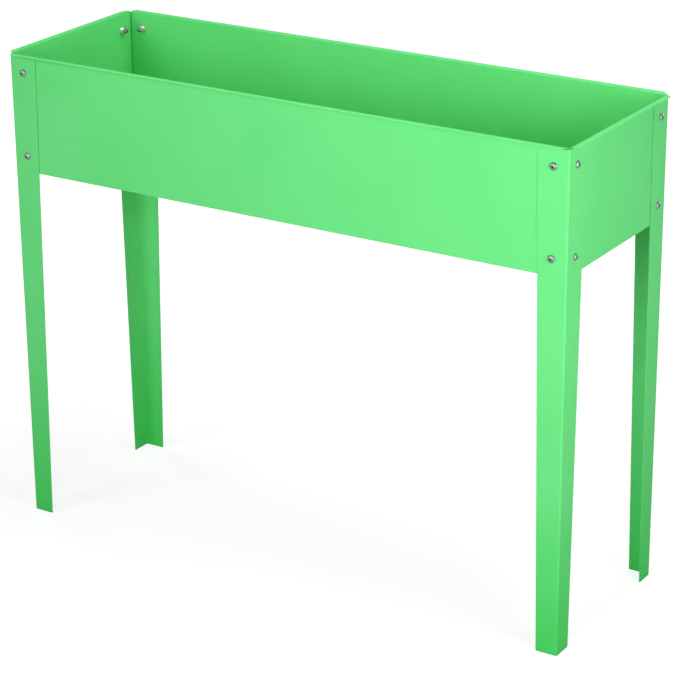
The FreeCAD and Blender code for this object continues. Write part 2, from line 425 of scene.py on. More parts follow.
@dataclass(frozen=True)
class PowderCoat:
    """Polyester powder coat, sprayed dry on the folded sheet and baked.

    The powder melts to an even skin with a faint orange peel. Matting agents in it break up most of the
    gloss, so it looks like satin. Its shade drifts a little over a sheet with the thickness of the coat,
    and its gloss varies slightly from spot to spot. A gap or an inner corner is drawn darker, as painted
    shade. A real coat is even from top to foot: its colour is drawn darker and deeper towards the feet, as
    painted shade. A real coat is even from top to foot: the shade is drawn deeper towards the feet only to
    follow the photograph, where light or retouching may be the cause.
    """

    name: str = "baked_green_powder_coat"
    thick_colour: str = "67DA7D"
    thin_colour: str = "6BDD81"
    # Painted shade: the colour that the legs darken to at the foot
    foot_shade_colour: str = "4AD462"
    foot_shade_reach: float = 280 * MM
    # Painted shade, drawn into gaps and inner corners
    gap_shade_colour: str = "166A2C"
    gap_shade_reach: float = 5 * MM
    # How open a place is where the painted shade is at its darkest, and where it ends
    gap_shade_range: tuple[float, float] = (0.33, 0.77)
    drift_size: float = 140 * MM
    drift_range: tuple[float, float] = (0.35, 0.65)
    spot_size: float = 7 * MM
    spot_range: tuple[float, float] = (0.3, 0.7)
    # Real orange peel is 1 to 2 mm across and a few microns deep, drawn coarser and deeper so that it shows
    peel_size: float = 3 * MM
    peel_depth: float = 0.04 * MM
    peel_strength: float = 0.6
    noise_detail: float = 2.0
    roughness: tuple[float, float] = (0.48, 0.58)
    ior: float = 1.5
    gloss_level: float = 0.06

    def build(self) -> bpy.types.Material:
        """Makes the material.

        Returns:
            The new material.
        """
        material, tree = new_material(self.name)
        place = add_node(tree, "ShaderNodeTexCoord", {}).outputs["Object"]
        noise = {
            size: add_node(
                tree,
                "ShaderNodeTexNoise",
                {"Vector": place, "Scale": 1 / size, "Detail": self.noise_detail},
            ).outputs["Fac"]
            for size in (self.drift_size, self.spot_size, self.peel_size)
        }
        drift = add_node(
            tree,
            "ShaderNodeMapRange",
            {
                "Value": noise[self.drift_size],
                "From Min": self.drift_range[0],
                "From Max": self.drift_range[1],
            },
        )
        powder = add_node(
            tree,
            "ShaderNodeMix",
            {
                MIX_FACTOR: drift.outputs["Result"],
                MIX_A: linear(self.thick_colour),
                MIX_B: linear(self.thin_colour),
            },
            data_type="RGBA",
        )
        # Painted shade: the colour is drawn darker and deeper towards the feet
        height = add_node(tree, "ShaderNodeSeparateXYZ", {"Vector": place})
        above_foot_shade = add_node(
            tree, "ShaderNodeMapRange", {"Value": height.outputs["Z"], "From Max": self.foot_shade_reach}
        )
        shade = add_node(
            tree,
            "ShaderNodeMix",
            {
                MIX_FACTOR: above_foot_shade.outputs["Result"],
                MIX_A: linear(self.foot_shade_colour),
                MIX_B: powder.outputs[MIX_COLOUR],
            },
            data_type="RGBA",
        )
        # Painted shade: darker in a gap or an inner corner, where the ambient occlusion is high
        painted_shade_ao = add_node(tree, "ShaderNodeAmbientOcclusion", {"Distance": self.gap_shade_reach})
        unshaded = add_node(
            tree,
            "ShaderNodeMapRange",
            {
                "Value": painted_shade_ao.outputs["AO"],
                "From Min": self.gap_shade_range[0],
                "From Max": self.gap_shade_range[1],
            },
        )
        colour = add_node(
            tree,
            "ShaderNodeMix",
            {
                MIX_FACTOR: unshaded.outputs["Result"],
                MIX_A: linear(self.gap_shade_colour),
                MIX_B: shade.outputs[MIX_COLOUR],
            },
            data_type="RGBA",
        )
        gloss = add_node(
            tree,
            "ShaderNodeMapRange",
            {
                "Value": noise[self.spot_size],
                "From Min": self.spot_range[0],
                "From Max": self.spot_range[1],
                "To Min": self.roughness[0],
                "To Max": self.roughness[1],
            },
        )
        peel = add_node(
            tree,
            "ShaderNodeBump",
            {
                "Height": noise[self.peel_size],
                "Strength": self.peel_strength,
                "Distance": self.peel_depth,
            },
        )
        skin = add_node(
            tree,
            "ShaderNodeBsdfPrincipled",
            {
                "Base Color": colour.outputs[MIX_COLOUR],
                "Roughness": gloss.outputs["Result"],
                "Normal": peel.outputs["Normal"],
                "IOR": self.ior,
                "Specular IOR Level": self.gloss_level,
            },
        )
        add_node(tree, "ShaderNodeOutputMaterial", {"Surface": skin.outputs["BSDF"]})
        return material


@dataclass(frozen=True)
class ZincPlate:
    """Zinc plated on a steel fastener in a tumbling barrel.

    The plate is a thin grey metal with a fine grain and small dull spots where pieces knocked together in
    the barrel. A recess is drawn darker, as painted shade.
    """

    name: str
    bright_colour: str = "E2E5E4"
    dull_colour: str = "BEC3C1"
    # Painted shade, drawn into a recess
    recess_shade_colour: str = "6A706D"
    recess_shade_reach: float = 3 * MM
    # How open a place is where the painted shade is at its darkest, and where it ends
    recess_shade_range: tuple[float, float] = (0.35, 0.65)
    spot_size: float = 2.5 * MM
    spot_range: tuple[float, float] = (0.3, 0.7)
    spot_detail: float = 3.0
    grain_size: float = 0.5 * MM
    grain_depth: float = 0.01 * MM
    grain_strength: float = 0.5
    grain_detail: float = 1.0
    roughness: tuple[float, float] = (0.34, 0.48)

    def build(self) -> bpy.types.Material:
        """Makes the material.

        Returns:
            The new material.
        """
        material, tree = new_material(self.name)
        place = add_node(tree, "ShaderNodeTexCoord", {}).outputs["Object"]
        spots, grain = (
            add_node(
                tree, "ShaderNodeTexNoise", {"Vector": place, "Scale": 1 / size, "Detail": detail}
            ).outputs["Fac"]
            for size, detail in (
                (self.spot_size, self.spot_detail),
                (self.grain_size, self.grain_detail),
            )
        )
        plated = add_node(
            tree,
            "ShaderNodeMix",
            {MIX_FACTOR: spots, MIX_A: linear(self.dull_colour), MIX_B: linear(self.bright_colour)},
            data_type="RGBA",
        )
        # Painted shade: darker in a recess, where the ambient occlusion is high
        painted_shade_ao = add_node(
            tree, "ShaderNodeAmbientOcclusion", {"Distance": self.recess_shade_reach}, only_local=True
        )
        unshaded = add_node(
            tree,
            "ShaderNodeMapRange",
            {
                "Value": painted_shade_ao.outputs["AO"],
                "From Min": self.recess_shade_range[0],
                "From Max": self.recess_shade_range[1],
            },
        )
        colour = add_node(
            tree,
            "ShaderNodeMix",
            {
                MIX_FACTOR: unshaded.outputs["Result"],
                MIX_A: linear(self.recess_shade_colour),
                MIX_B: plated.outputs[MIX_COLOUR],
            },
            data_type="RGBA",
        )
        gloss = add_node(
            tree,
            "ShaderNodeMapRange",
            {
                "Value": spots,
                "From Min": self.spot_range[0],
                "From Max": self.spot_range[1],
                "To Min": self.roughness[1],
                "To Max": self.roughness[0],
            },
        )
        bump = add_node(
            tree,
            "ShaderNodeBump",
            {"Height": grain, "Strength": self.grain_strength, "Distance": self.grain_depth},
        )
        plate = add_node(
            tree,
            "ShaderNodeBsdfPrincipled",
            {
                "Base Color": colour.outputs[MIX_COLOUR],
                "Metallic": 1.0,
                "Roughness": gloss.outputs["Result"],
                "Normal": bump.outputs["Normal"],
            },
        )
        add_node(tree, "ShaderNodeOutputMaterial", {"Surface": plate.outputs["BSDF"]})
        return material


@dataclass(frozen=True)
class BoltSite:
    """One bolt's place on a leg: its matrix has Z outwards, from the leg's outer face."""

    name: str
    place: Matrix
    clamped: float


@dataclass(frozen=True)
class BedPlan:
    """Main sizes of the bed: its places, read from the CAD nodes, and its sheets."""

    half_length: float
    half_width: float
    rim_top: float
    leg_top: float
    panel_bottom: float
    tray_bottom: float
    tray_top: float
    bolt_rows: tuple[float, float]
    bolt_inset: float
    bolt_head_radius: float = 6 * MM
    bolt_hole_radius: float = 3.3 * MM
    leg_sheet: float = 1 * MM
    panel_sheet: float = 0.7 * MM
    tray_sheet: float = 0.7 * MM
    leg_fold: float = 3 * MM
    edge_round: float = 0.15 * MM

    @classmethod
    def read(cls) -> "BedPlan":
        """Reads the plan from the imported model.

        Returns:
            The plan.
        """
        leg_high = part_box("back_right_leg")[1]
        panel_low, panel_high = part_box("back_panel")
        tray_low, tray_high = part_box("base_tray")
        bolt_low, bolt_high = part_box("back_right_bolts")
        head = cls.bolt_head_radius
        return cls(
            half_length=leg_high.x,
            half_width=leg_high.y,
            rim_top=panel_high.z,
            leg_top=leg_high.z,
            panel_bottom=panel_low.z,
            tray_bottom=tray_low.z,
            tray_top=tray_high.z,
            bolt_rows=(bolt_low.z + head, bolt_high.z - head),
            bolt_inset=leg_high.x - bolt_low.x - head,
        )

    def bolt_sites(self, corner: Corner) -> list[BoltSite]:
        """Finds the four bolts of a leg.

        Args:
            corner: The leg's corner.

        Returns:
            The four sites.
        """
        turn = Matrix.Rotation(math.radians(corner.value), 4, "Z")
        x, y = self.half_length, self.half_width
        if corner in (Corner.BACK_LEFT, Corner.FRONT_RIGHT):
            x, y = y, x
        sites = []
        for row, height in zip(("lower", "upper"), self.bolt_rows):
            clamped = self.leg_sheet + self.panel_sheet + (self.tray_sheet if row == "lower" else 0.0)
            faces = (
                ("a", (x - self.bolt_inset, y, height), Matrix.Rotation(-math.pi / 2, 4, "X")),
                ("b", (x, y - self.bolt_inset, height), Matrix.Rotation(math.pi / 2, 4, "Y")),
            )
            for letter, place, outwards in faces:
                seat = turn @ (Matrix.Translation(place) @ outwards)
                sites.append(BoltSite(f"{row}_{letter}", seat, clamped))
        return sites

    def punch_bolt_holes(self, sheet: bpy.types.Object) -> None:
        """Punches the bolt holes through a sheet that is in its place.

        Args:
            sheet: The panel, leg or tray.
        """
        reach = 5 * MM
        punch = add_rod("bolt_punch", self.bolt_hole_radius, -reach, reach, sides=32)
        places = [site.place for corner in Corner for site in self.bolt_sites(corner)]
        combine(sheet, copies_at(punch, places), Cut.TAKE_AWAY)


@dataclass(frozen=True)
class SidePanel:
    """One side of the trough: a wall with a hemmed rim folded outwards and a ledge folded inwards."""

    plan: BedPlan
    side: Side
    ripple_size: float
    ripple: float = 0.05 * MM
    rim_overhang: float = 9 * MM
    hem_return: float = 5.5 * MM
    hem_gap: float = 0.4 * MM
    ledge: float = 14 * MM
    inner_bend: float = 1 * MM
    # Each of the hem's two bends takes just under half of its height, so that they don't meet
    hem_bend_share: float = 0.49
    bend_steps: int = 4
    # Part of the wall at each end that the bolts hold flat, in bolt insets
    held_insets: float = 2.0
    ripple_fade: float = 50 * MM
    cell: float = 16 * MM

    @property
    def name(self) -> str:
        """Name of the CAD node that the panel stands for."""
        return f"{self.side.name.lower()}_panel"

    @property
    def is_long(self) -> bool:
        """Whether the panel runs along the bed."""
        return self.side in (Side.FRONT, Side.BACK)

    @property
    def end(self) -> float:
        """Distance of the panel's ends from its middle, where the leg's fold begins."""
        return (self.plan.half_length if self.is_long else self.plan.half_width) - self.plan.leg_fold

    @property
    def face(self) -> float:
        """Distance of the wall's outer face from the bed's middle."""
        return (self.plan.half_width if self.is_long else self.plan.half_length) - self.plan.leg_sheet

    def build(self) -> bpy.types.Object:
        """Models the panel as the front one and turns it to its side.

        Returns:
            The finished panel.
        """
        sheet = self.plan.panel_sheet
        wall = self.face - sheet / 2
        top = self.plan.rim_top - sheet / 2
        bottom = self.plan.panel_bottom + sheet / 2
        quads = (round(2 * self.end / self.cell), round((top - bottom) / self.cell))
        panel = add_sheet(f"{self.name}_sheet", quads, (-self.end, -wall, bottom), (self.end, -wall, top))
        with editing(panel):
            self._fold_rim(panel, wall, top)
            self._fold_ledge(panel, wall, bottom)
        self._ripple_wall(panel, wall)
        apply_modifier(panel, "SOLIDIFY", thickness=sheet, offset=0.0, use_even_offset=True)
        move_mesh(panel, Matrix.Rotation(math.radians(self.side.value), 4, "Z"))
        self.plan.punch_bolt_holes(panel)
        round_edges(panel, self.plan.edge_round)
        smooth(panel)
        return panel

    def _fold_rim(self, panel: bpy.types.Object, wall: float, top: float) -> None:
        """Folds the rim outwards and its hem under, with ends cut back at 45 degrees.

        Args:
            panel: The panel in edit mode.
            wall: Distance of the wall's middle plane from the bed's middle.
            top: Height of the rim's middle plane.
        """
        sheet = self.plan.panel_sheet
        drop = sheet + self.hem_gap
        lip = self.rim_overhang - sheet / 2
        fold_end = self.end - lip
        return_end = self.end - self.rim_overhang + self.hem_return
        pick(panel, Pick.EDGES, on_line(-wall, top))
        draw_out((0.0, wall - self.face - lip, 0.0))
        stretch(fold_end / self.end, 1.0, 1.0)
        draw_out((0.0, 0.0, -drop))
        draw_out((0.0, self.hem_return - sheet / 2, 0.0))
        stretch(return_end / fold_end, 1.0, 1.0)
        pick(panel, Pick.EDGES, on_line(-wall, top))
        bpy.ops.mesh.bevel(offset=self.inner_bend + sheet / 2, segments=self.bend_steps, affect="EDGES")
        for height in (top, top - drop):
            pick(panel, Pick.EDGES, on_line(-self.face - lip, height))
            bpy.ops.mesh.bevel(offset=drop * self.hem_bend_share, segments=self.bend_steps, affect="EDGES")

    def _fold_ledge(self, panel: bpy.types.Object, wall: float, bottom: float) -> None:
        """Folds the ledge that carries the tray inwards, with ends cut back at 45 degrees.

        Args:
            panel: The panel in edit mode.
            wall: Distance of the wall's middle plane from the bed's middle.
            bottom: Height of the ledge's middle plane.
        """
        sheet = self.plan.panel_sheet
        reach = self.ledge - sheet / 2
        pick(panel, Pick.EDGES, on_line(-wall, bottom))
        draw_out((0.0, reach, 0.0))
        stretch((self.end - reach) / self.end, 1.0, 1.0)
        pick(panel, Pick.EDGES, on_line(-wall, bottom))
        bpy.ops.mesh.bevel(offset=self.inner_bend + sheet / 2, segments=self.bend_steps, affect="EDGES")

    def _ripple_wall(self, panel: bpy.types.Object, wall: float) -> None:
        """Lets the thin wall waver a little between its folds and its bolts.

        Args:
            panel: The folded panel, with no thickness yet.
            wall: Distance of the wall's middle plane from the bed's middle.
        """
        group = panel.vertex_groups.new(name="free_wall")
        for vertex in panel.data.vertices:
            place = vertex.co
            if abs(place.y + wall) < NEAR:
                margins = (
                    self.end - self.held_insets * self.plan.bolt_inset - abs(place.x),
                    place.z - self.plan.tray_top,
                    self.plan.rim_top - place.z,
                )
                group.add([vertex.index], min(1.0, max(0.0, min(margins) / self.ripple_fade)), "REPLACE")
        clouds = bpy.data.textures.new(f"{self.name}_ripple", "CLOUDS")
        clouds.noise_scale = self.ripple_size
        apply_modifier(
            panel,
            "DISPLACE",
            texture=clouds,
            strength=2 * self.ripple,
            mid_level=0.5,
            vertex_group=group.name,
        )


@dataclass(frozen=True)
class AngleLeg:
    """A leg: a sheet angle, both of whose faces narrow evenly from the top to the foot."""

    plan: BedPlan
    corner: Corner
    top_width: float = 51 * MM
    foot_width: float = 36 * MM
    foot_corner: float = 2 * MM
    foot_corner_steps: int = 4
    fold_steps: int = 8
    cell: float = 16 * MM

    @property
    def name(self) -> str:
        """Name of the CAD node that the leg stands for."""
        return f"{self.corner.name.lower()}_leg"

    def build(self) -> bpy.types.Object:
        """Models the leg with its fold on the Z axis and takes it to its corner.

        Returns:
            The finished leg.
        """
        plan = self.plan
        middle = plan.leg_sheet / 2
        rows = round(plan.leg_top / self.cell)
        low = (-self.top_width, -middle, 0.0)
        leg = add_sheet(f"{self.name}_angle", (1, rows), low, (-middle, -middle, plan.leg_top))
        with editing(leg):
            pick(leg, Pick.EDGES, lambda p: abs(p.x + middle) < NEAR)
            draw_out((0.0, middle - self.top_width, 0.0))
            pick(leg, Pick.EDGES, lambda p: abs(p.x + middle) < NEAR and abs(p.y + middle) < NEAR)
            bpy.ops.mesh.bevel(offset=plan.leg_fold - middle, segments=self.fold_steps, affect="EDGES")
            self._taper(leg)
            self._round_foot(leg)
        apply_modifier(leg, "SOLIDIFY", thickness=plan.leg_sheet, offset=0.0, use_even_offset=True)
        right = 1 if self.corner in (Corner.BACK_RIGHT, Corner.FRONT_RIGHT) else -1
        back = 1 if self.corner in (Corner.BACK_RIGHT, Corner.BACK_LEFT) else -1
        place = Matrix.Translation((right * plan.half_length, back * plan.half_width, 0.0))
        move_mesh(leg, place @ Matrix.Rotation(math.radians(self.corner.value), 4, "Z"))
        plan.punch_bolt_holes(leg)
        round_edges(leg, plan.edge_round)
        smooth(leg)
        return leg

    def _taper(self, leg: bpy.types.Object) -> None:
        """Cuts both faces' free edges on a slant.

        Args:
            leg: The leg in edit mode.
        """
        narrowing = Vector((0.0, 0.0, self.top_width - self.foot_width))
        for across in (Vector((1.0, 0.0, 0.0)), Vector((0.0, 1.0, 0.0))):
            bpy.ops.mesh.select_all(action="SELECT")
            bpy.ops.mesh.bisect(
                plane_co=across * -self.foot_width,
                plane_no=across * -self.plan.leg_top - narrowing,
                clear_outer=True,
            )

    def _round_foot(self, leg: bpy.types.Object) -> None:
        """Rounds the foot's two free corners.

        Args:
            leg: The leg in edit mode.
        """
        reach = self.foot_width - NEAR
        pick(leg, Pick.VERTS, lambda p: p.z < NEAR and (p.x < -reach or p.y < -reach))
        bpy.ops.mesh.bevel(offset=self.foot_corner, segments=self.foot_corner_steps, affect="VERTICES")


@dataclass(frozen=True)
class FloorTray:
    """The floor: a sheet tray on the panels' ledges, with pressed cross beads and drain holes."""

    plan: BedPlan
    name: str = "base_tray"
    inner_bend: float = 1.2 * MM
    bend_steps: int = 4
    notch: float = 3 * MM
    bays: int = 6
    bead_radius: float = 10 * MM
    bead_rise: float = 4 * MM
    bead_gap: float = 50 * MM
    drain_radius: float = 5 * MM
    drain_spread: float = 0.4
    cell: float = 40 * MM

    @property
    def half_size(self) -> tuple[float, float]:
        """Half of the tray's length and width, over its walls."""
        inset = self.plan.leg_sheet + self.plan.panel_sheet
        return self.plan.half_length - inset, self.plan.half_width - inset

    @property
    def pitch(self) -> float:
        """Length of one bay between the beads."""
        return 2 * self.half_size[0] / self.bays

    def build(self) -> bpy.types.Object:
        """Models the tray.

        Returns:
            The finished tray.
        """
        sheet = self.plan.tray_sheet
        x, y = (half - sheet / 2 for half in self.half_size)
        floor = self.plan.tray_bottom + sheet / 2
        quads = (round(2 * x / self.cell), round(2 * y / self.cell))
        tray = add_sheet(f"{self.name}_sheet", quads, (-x, -y, floor), (x, y, floor))

        def on_border(p: Vector) -> bool:
            """Whether a place is on the floor's outer edge."""
            return abs(p.z - floor) < NEAR and (abs(p.x) > x - NEAR or abs(p.y) > y - NEAR)

        with editing(tray):
            self._notch_corners(tray)
            pick(tray, Pick.EDGES, on_border)
            draw_out((0.0, 0.0, self.plan.tray_top - floor))
            pick(tray, Pick.EDGES, on_border)
            bpy.ops.mesh.bevel(offset=self.inner_bend + sheet / 2, segments=self.bend_steps, affect="EDGES")
        apply_modifier(tray, "SOLIDIFY", thickness=sheet, offset=0.0, use_even_offset=True)
        combine(tray, self._beads("bead_skin", self.bead_radius, floor - sheet / 2 + NEAR), Cut.ADD)
        combine(tray, self._beads("bead_hollow", self.bead_radius - sheet, floor - sheet), Cut.TAKE_AWAY)
        combine(tray, self._drain_punch(), Cut.TAKE_AWAY)
        self.plan.punch_bolt_holes(tray)
        round_edges(tray, self.plan.edge_round)
        smooth(tray)
        return tray

    def _notch_corners(self, tray: bpy.types.Object) -> None:
        """Cuts a square out of each corner, so that the walls fold up without meeting.

        Args:
            tray: The tray in edit mode.
        """
        x, y = (half - self.notch for half in self.half_size)
        for place in ((x, 0.0, 0.0), (-x, 0.0, 0.0), (0.0, y, 0.0), (0.0, -y, 0.0)):
            bpy.ops.mesh.select_all(action="SELECT")
            bpy.ops.mesh.bisect(plane_co=place, plane_no=place)
        pick(tray, Pick.FACES, lambda p: abs(p.x) > x - NEAR and abs(p.y) > y - NEAR)
        bpy.ops.mesh.delete(type="FACE")

    def _beads(self, name: str, radius: float, cut_height: float) -> bpy.types.Object:
        """Makes the cross beads as long round-ended bars, cut off below.

        Args:
            name: The object's name.
            radius: Radius of each bar.
            cut_height: Height below which they are cut off.

        Returns:
            The beads, joined to one object.
        """
        half = self.half_size[1] - self.bead_gap - self.bead_radius
        steps = 8
        turns = [math.pi / 2 * n / steps for n in range(1, steps)]
        cap = [(half + radius * math.sin(turn), radius * math.cos(turn)) for turn in turns]
        bar = add_rod(name, radius, -half, half, sides=48)
        with editing(bar):
            for way in (1, -1):
                pick(bar, Pick.FACES, at_height(way * half))
                draw_rings((way * half, radius), [(way * height, ring) for height, ring in cap])
        middle = self.plan.tray_bottom + self.bead_rise - self.bead_radius
        lie = Matrix.Rotation(math.pi / 2, 4, "X")
        along = [(n - self.bays / 2) * self.pitch for n in range(1, self.bays)]
        beads = copies_at(bar, [Matrix.Translation((x, 0.0, middle)) @ lie for x in along])
        with editing(beads):
            bpy.ops.mesh.select_all(action="SELECT")
            bpy.ops.mesh.bisect(
                plane_co=(0.0, 0.0, cut_height), plane_no=(0.0, 0.0, 1.0), use_fill=True, clear_inner=True
            )
        return beads

    def _drain_punch(self) -> bpy.types.Object:
        """Makes the punches of the drain holes, two to each bay.

        Returns:
            The punches, joined to one object.
        """
        reach = 3 * MM
        y = self.half_size[1] * self.drain_spread
        along = [(n + 0.5 - self.bays / 2) * self.pitch for n in range(self.bays)]
        punch = add_rod("drain_punch", self.drain_radius, -reach, reach, sides=48)
        floor = self.plan.tray_bottom
        places = [Matrix.Translation((x, side * y, floor)) for x in along for side in (1, -1)]
        return copies_at(punch, places)


@dataclass(frozen=True)
class PanHeadBolt:
    """A machine screw with a domed head and a cross recess, its thread along -Z from the head's seat."""

    kind: str = "bolt"
    # The heads' plate is drawn darker and greener than the nuts', as a painted reflection
    finish: ZincPlate = ZincPlate("dark_zinc_plated_bolt", "8C9D92", "586A5E", "0E1812")
    radius: float = 6 * MM
    height: float = 3.8 * MM
    rim: float = 0.9 * MM
    length: float = 12 * MM
    thread_radius: float = 2.95 * MM
    thread_depth: float = 0.55 * MM
    pitch: float = 1 * MM
    recess_length: float = 6.6 * MM
    recess_width: float = 1.7 * MM
    recess_depth: float = 2.3 * MM
    recess_middle: float = 1.7 * MM
    # How far the recess narrows towards its floor: along and across a wing, and at its middle
    wing_taper: tuple[float, float] = (0.55, 0.75)
    middle_taper: float = 0.5
    cut_clearance: float = 1 * MM
    edge_round: float = 0.12 * MM

    def depth(self, site: BoltSite) -> float:
        """How far the bolt's origin is behind the leg's outer face."""
        return 0.0

    def build(self) -> bpy.types.Object:
        """Models the bolt.

        Returns:
            The bolt, with its head's seat at the origin.
        """
        bolt = self._head()
        for turn in (0.0, math.pi / 2):
            combine(bolt, self._recess_wing(turn), Cut.TAKE_AWAY)
        combine(bolt, self._recess_centre(), Cut.TAKE_AWAY)
        round_edges(bolt, self.edge_round)
        combine(bolt, self._thread(), Cut.ADD)
        smooth(bolt)
        return bolt

    def _head(self) -> bpy.types.Object:
        """Models the domed head without its recess.

        Returns:
            The head.
        """
        rise = self.height - self.rim
        dome = (self.radius ** 2 + rise ** 2) / (2 * rise)
        spread = math.asin(self.radius / dome)
        steps = 10
        turns = [spread * (1 - n / steps) for n in range(1, steps)]
        rings = [(self.height - dome * (1 - math.cos(turn)), dome * math.sin(turn)) for turn in turns]
        head = add_rod("bolt_head", self.radius, 0.0, self.rim, sides=48)
        with editing(head):
            pick(head, Pick.FACES, at_height(self.rim))
            draw_rings((self.rim, self.radius), rings)
        return head

    def _recess_wing(self, turn: float) -> bpy.types.Object:
        """Models one wing of the cross recess, narrower at its floor.

        Args:
            turn: Turn about the bolt's axis.

        Returns:
            The wing, as a solid to take away.
        """
        above = self.height + self.cut_clearance
        floor = self.height - self.recess_depth
        bpy.ops.object.select_all(action="DESELECT")
        bpy.ops.mesh.primitive_cube_add(size=1.0, location=(0.0, 0.0, (above + floor) / 2))
        bpy.context.active_object.scale = (self.recess_length, self.recess_width, above - floor)
        wing = new_piece("recess_wing")
        with editing(wing):
            pick(wing, Pick.FACES, at_height(floor))
            stretch(*self.wing_taper, 1.0)
        move_mesh(wing, Matrix.Rotation(turn, 4, "Z"))
        return wing

    def _recess_centre(self) -> bpy.types.Object:
        """Models the tapering round middle of the cross recess.

        Returns:
            The middle, as a solid to take away.
        """
        floor = self.height - self.recess_depth
        above = self.height + self.cut_clearance
        centre = add_rod("recess_centre", self.recess_middle, floor, above, sides=24)
        with editing(centre):
            pick(centre, Pick.FACES, at_height(floor))
            stretch(self.middle_taper, self.middle_taper, 1.0)
        return centre

    def _thread(self) -> bpy.types.Object:
        """Models the threaded shank, from inside the head to its end.

        Returns:
            The shank.
        """
        into_head = 0.3 * MM
        turn_steps = 32
        core = self.thread_radius - self.thread_depth
        low = -self.length - 2 * self.pitch
        turns = math.ceil((into_head - low) / self.pitch) + 1
        far_corner = (core + self.pitch, 0.0, low + self.pitch)
        shank = add_sheet("bolt_thread", (1, 2), (core, 0.0, low), far_corner)
        with editing(shank):
            pick(shank, Pick.VERTS, lambda p: p.x > core + NEAR)
            bpy.ops.mesh.delete(type="VERT")
            pick(shank, Pick.VERTS, at_height(low + self.pitch / 2))
            bpy.ops.transform.translate(value=(self.thread_depth, 0.0, 0.0))
        apply_modifier(
            shank,
            "SCREW",
            angle=2 * math.pi,
            screw_offset=self.pitch,
            iterations=turns,
            steps=turn_steps,
            render_steps=turn_steps,
            use_merge_vertices=True,
            merge_threshold=NEAR,
        )
        with editing(shank):
            bpy.ops.mesh.select_all(action="SELECT")
            bpy.ops.mesh.remove_doubles(threshold=NEAR)
            for height, way in ((into_head, 1.0), (-self.length, -1.0)):
                bpy.ops.mesh.select_all(action="SELECT")
                bpy.ops.mesh.bisect(
                    plane_co=(0.0, 0.0, height), plane_no=(0.0, 0.0, way), use_fill=True, clear_outer=True
                )
            bpy.ops.mesh.select_all(action="SELECT")
            bpy.ops.mesh.normals_make_consistent(inside=False)
        return shank


@dataclass(frozen=True)
class FlatWasher:
    """A stamped flat washer below the Z plane, with its cut edges rolled over."""

    kind: str = "washer"
    finish: ZincPlate = ZincPlate("zinc_plated_washer")
    radius: float = 8 * MM
    hole_radius: float = 3.2 * MM
    thickness: float = 1.2 * MM
    edge_round: float = 0.2 * MM

    def depth(self, site: BoltSite) -> float:
        """How far the washer's outer face is behind the leg's outer face."""
        return site.clamped

    def build(self) -> bpy.types.Object:
        """Models the washer.

        Returns:
            The washer, with its outer face at the origin.
        """
        washer = add_rod("washer_ring", self.radius, -self.thickness, 0.0, sides=64)
        band = self.radius - self.hole_radius
        inside = self.hole_radius + 10 * NEAR
        with editing(washer):
            for height in (0.0, -self.thickness):
                pick(washer, Pick.FACES, at_height(height))
                bpy.ops.mesh.inset(thickness=band)
            pick(washer, Pick.FACES, lambda p: math.hypot(p.x, p.y) < inside)
            bpy.ops.mesh.bridge_edge_loops()
        round_edges(washer, self.edge_round)
        smooth(washer)
        return washer


@dataclass(frozen=True)
class HexNut:
    """A hexagon nut below the Z plane, chamfered at both ends, with a countersunk bore."""

    washer: FlatWasher
    kind: str = "nut"
    finish: ZincPlate = ZincPlate("zinc_plated_nut")
    across_flats: float = 10 * MM
    height: float = 5 * MM
    bore_radius: float = 3.05 * MM
    countersink: float = 0.4 * MM
    chamfer: float = 0.45 * MM
    edge_round: float = 0.1 * MM

    def depth(self, site: BoltSite) -> float:
        """How far the nut's outer face is behind the leg's outer face."""
        return site.clamped + self.washer.thickness

    def build(self) -> bpy.types.Object:
        """Models the nut.

        Returns:
            The nut, with its outer face at the origin.
        """
        corner = self.across_flats / math.sqrt(3)
        nut = add_rod("hexagon_nut", corner, -self.height, 0.0, sides=6)
        combine(nut, self._chamfer(corner), Cut.KEEP_COMMON)
        combine(nut, self._bore(), Cut.TAKE_AWAY)
        round_edges(nut, self.edge_round)
        smooth(nut)
        return nut

    def _chamfer(self, corner: float) -> bpy.types.Object:
        """Models the turned body that the hexagon's corners are chamfered to.

        Args:
            corner: Radius over the hexagon's corners.

        Returns:
            The body.
        """
        clearance = 0.1 * MM
        wide = corner + clearance
        narrow = wide - self.chamfer * math.sqrt(3)
        low, high = self.chamfer - self.height, -self.chamfer
        body = add_rod("nut_chamfer", wide, low, high, sides=96)
        with editing(body):
            for height, end in ((high, 0.0), (low, -self.height)):
                pick(body, Pick.FACES, at_height(height))
                draw_rings((height, wide), [(end, narrow)])
        return body

    def _bore(self) -> bpy.types.Object:
        """Models the bore with its countersinks, as a solid to take away.

        Returns:
            The bore.
        """
        low, high = self.countersink - self.height, -self.countersink
        wide = self.bore_radius + 2 * self.countersink
        bore = add_rod("nut_bore", self.bore_radius, low, high, sides=64)
        with editing(bore):
            for height, end in ((high, self.countersink), (low, -self.height - self.countersink)):
                pick(bore, Pick.FACES, at_height(height))
                draw_rings((height, self.bore_radius), [(end, wide)])
        return bore


